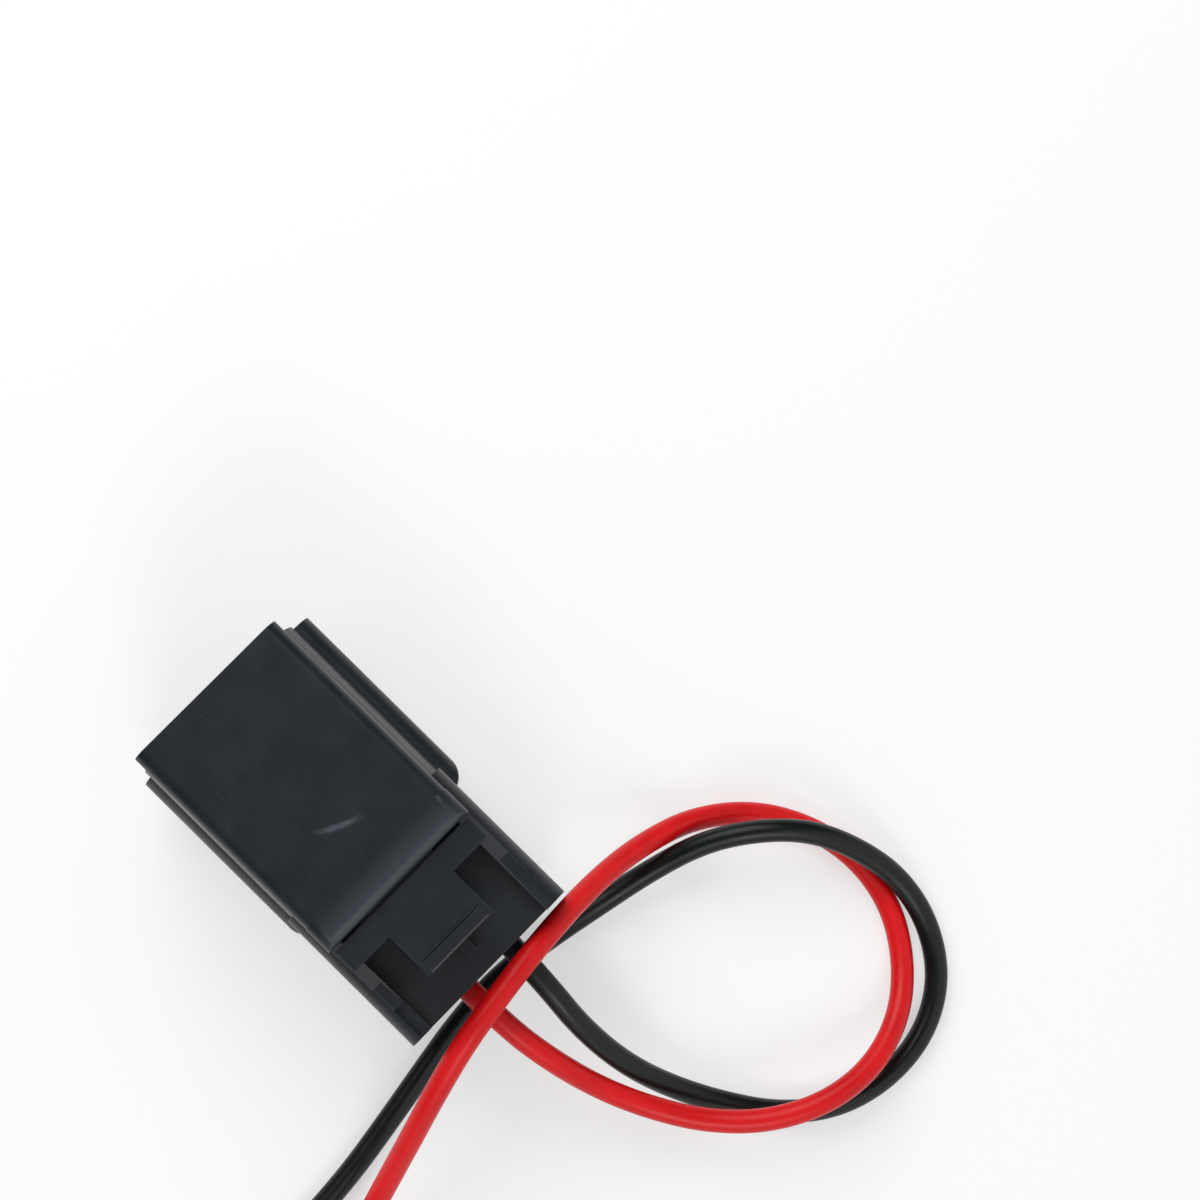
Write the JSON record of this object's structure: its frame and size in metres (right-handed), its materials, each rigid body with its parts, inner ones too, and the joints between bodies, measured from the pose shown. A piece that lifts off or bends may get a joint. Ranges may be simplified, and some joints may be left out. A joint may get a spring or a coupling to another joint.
{
  "type": "sealed connector pigtail",
  "caption": "Sealed female connector housing with a latch lever under its hood, a front retainer, a ring seal, crimped terminals and a loose looped wire tail.",
  "frame": {"origin": "centre of the terminal tower in the plane of the shroud's front rim", "axes": "-Y is the way the mating half leaves, +Y is the way the wires leave, +Z is the side of the latch hood"},
  "size_m": [0.0834, 0.0766, 0.0276],
  "materials": {
    "housing_plastic": "moulded black nylon, satin with fine scratches",
    "retainer_plastic": "moulded brick red nylon",
    "seal_silicone": "dark blue silicone, slightly oily",
    "terminal_metal": "stamped brass with a thin tin plate",
    "wire_coat_red": "extruded coat, glossy",
    "wire_coat_black": "extruded coat, glossy"
  },
  "bodies": {
    "root": {"housing": "housing_plastic", "front_retainer": "retainer_plastic", "ring_seal": "seal_silicone", "terminal_red": "terminal_metal", "terminal_black": "terminal_metal", "wire_seal_red": "seal_silicone", "wire_seal_black": "seal_silicone", "crimped_end_red": "wire_coat_red", "crimped_end_black": "wire_coat_black", "wire_red": "wire_coat_red", "wire_black": "wire_coat_black"}
  },
  "joints": []
}
